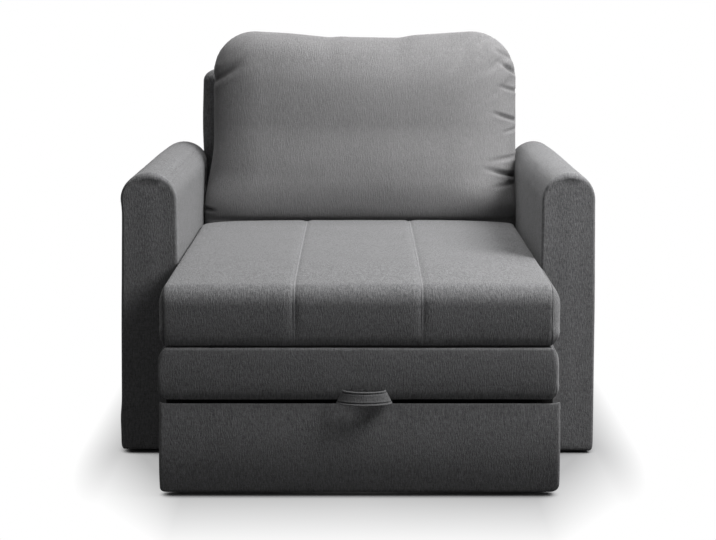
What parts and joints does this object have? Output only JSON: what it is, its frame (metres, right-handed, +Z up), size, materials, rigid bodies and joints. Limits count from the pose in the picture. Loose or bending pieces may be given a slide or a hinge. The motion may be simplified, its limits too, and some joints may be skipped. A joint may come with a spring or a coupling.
{
  "type": "convertible chair bed",
  "caption": "Upholstered armchair whose upper seat section turns over forward onto a roll-out box to make a single bed.",
  "frame": {"origin": "on the floor, under the middle of the chair's bounding box", "axes": "+X to the right as seen from the front, +Y to the rear (the seat faces -Y), +Z up"},
  "size_m": [1, 1.094, 0.8768],
  "materials": {
    "upholstery": "matte",
    "webbing": "matte",
    "foam": "matte",
    "timber": "matte",
    "castor_steel": "satin",
    "wheel_plastic": "satin",
    "glide_plastic": "satin"
  },
  "bodies": {
    "chair_frame": {"left_arm_cover": "upholstery", "right_arm_cover": "upholstery", "left_arm_bottom_rail": "timber", "left_arm_top_rail": "timber", "left_arm_front_post": "timber", "left_arm_rear_post": "timber", "left_arm_bearer_rail": "timber", "right_arm_bottom_rail": "timber", "right_arm_top_rail": "timber", "right_arm_front_post": "timber", "right_arm_rear_post": "timber", "right_arm_bearer_rail": "timber", "left_front_glide": "glide_plastic", "left_rear_glide": "glide_plastic", "right_front_glide": "glide_plastic", "right_rear_glide": "glide_plastic", "back_cover": "upholstery", "back_left_post": "timber", "back_right_post": "timber", "back_bottom_rail": "timber", "back_middle_rail": "timber", "back_top_rail": "timber", "platform_left_rail": "upholstery", "platform_right_rail": "upholstery", "platform_front_rail": "upholstery", "platform_rear_rail": "timber", "platform_slat_1": "timber", "platform_slat_2": "timber", "platform_slat_3": "timber", "platform_slat_4": "timber", "platform_slat_5": "timber", "platform_slat_6": "timber", "platform_slat_7": "timber", "lower_section_cover": "upholstery", "lower_section_foam": "foam", "hinge_band": "upholstery"},
    "upper_section": {"upper_section_cover": "upholstery", "upper_section_foam": "foam"},
    "back_cushion": {"back_cushion_cover": "upholstery", "back_cushion_filling": "foam"},
    "roll_out_box": {"box_front_cover": "upholstery", "box_front_board": "timber", "box_left_side": "upholstery", "box_right_side": "upholstery", "box_rear_board": "timber", "box_slat_1": "timber", "box_slat_2": "timber", "box_slat_3": "timber", "box_slat_4": "timber", "box_slat_5": "timber", "left_front_castor_bracket": "castor_steel", "left_rear_castor_bracket": "castor_steel", "right_front_castor_bracket": "castor_steel", "right_rear_castor_bracket": "castor_steel", "strap_handle": "webbing"},
    "left_front_wheel": {"left_front_castor_wheel": "wheel_plastic"},
    "left_rear_wheel": {"left_rear_castor_wheel": "wheel_plastic"},
    "right_front_wheel": {"right_front_castor_wheel": "wheel_plastic"},
    "right_rear_wheel": {"right_rear_castor_wheel": "wheel_plastic"}
  },
  "joints": [
    {"name": "box_slide", "type": "slide", "parent": "chair_frame", "child": "roll_out_box", "axis": [0, -1, 0], "range_m": [0, 0.845]},
    {"name": "upper_section_flip", "type": "hinge", "parent": "chair_frame", "child": "upper_section", "pos_m": [0, -0.523, 0.3034], "axis": [1, 0, 0], "range_deg": [0, 180], "deforming": ["strap_handle"]},
    {"name": "back_cushion_lift", "type": "slide", "parent": "chair_frame", "child": "back_cushion", "axis": [0, 0, 1], "range_m": [0, 0.5]},
    {"name": "left_front_wheel_spin", "type": "hinge", "parent": "roll_out_box", "child": "left_front_wheel", "pos_m": [-0.342, -0.4302, 0.02], "axis": [1, 0, 0], "continuous": true},
    {"name": "left_rear_wheel_spin", "type": "hinge", "parent": "roll_out_box", "child": "left_rear_wheel", "pos_m": [-0.342, 0.375, 0.02], "axis": [1, 0, 0], "continuous": true},
    {"name": "right_front_wheel_spin", "type": "hinge", "parent": "roll_out_box", "child": "right_front_wheel", "pos_m": [0.342, -0.4302, 0.02], "axis": [1, 0, 0], "continuous": true},
    {"name": "right_rear_wheel_spin", "type": "hinge", "parent": "roll_out_box", "child": "right_rear_wheel", "pos_m": [0.342, 0.375, 0.02], "axis": [1, 0, 0], "continuous": true}
  ],
  "couplings": [
    {"joint": "left_front_wheel_spin", "follows": "box_slide", "rad_per_m": 50},
    {"joint": "left_rear_wheel_spin", "follows": "box_slide", "rad_per_m": 50},
    {"joint": "right_front_wheel_spin", "follows": "box_slide", "rad_per_m": 50},
    {"joint": "right_rear_wheel_spin", "follows": "box_slide", "rad_per_m": 50}
  ]
}
